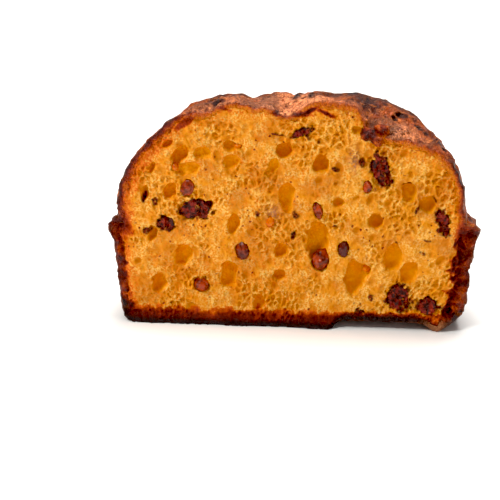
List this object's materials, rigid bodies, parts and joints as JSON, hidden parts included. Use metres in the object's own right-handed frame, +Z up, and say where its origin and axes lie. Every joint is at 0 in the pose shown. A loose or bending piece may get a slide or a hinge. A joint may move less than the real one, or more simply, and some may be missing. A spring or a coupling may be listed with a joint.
{
  "type": "half panettone",
  "caption": "Half of a domed panettone standing on its base, cut face with open yellow crumb, raisins, chocolate and candied peel, dark wrinkled crust and mould lip.",
  "frame": {"origin": "on the whole loaf's vertical axis, in the plane of its flat base", "axes": "+Z up along the loaf's axis, +X to the right along the cut as seen from the front, the cut face looks along -Y"},
  "size_m": [0.2136, 0.1182, 0.1362],
  "materials": {
    "bread_crumb": "soft matt open crumb",
    "bread_crust": "baked skin, faint sheen",
    "raisin": "moist wrinkled skin",
    "chocolate": "half-melted, satin",
    "candied_peel": "sugared, glossy"
  },
  "bodies": {
    "root": {"loaf": "bread_crumb", "raisin_1": "raisin", "raisin_2": "raisin", "raisin_3": "raisin", "raisin_4": "raisin", "raisin_5": "raisin", "raisin_6": "raisin", "raisin_7": "raisin", "chocolate_1": "chocolate", "chocolate_2": "chocolate", "chocolate_3": "chocolate", "chocolate_4": "chocolate", "chocolate_5": "chocolate", "chocolate_6": "chocolate", "chocolate_7": "chocolate", "chocolate_8": "chocolate", "candied_peel_1": "candied_peel", "candied_peel_2": "candied_peel", "candied_peel_3": "candied_peel", "candied_peel_4": "candied_peel"}
  },
  "joints": []
}
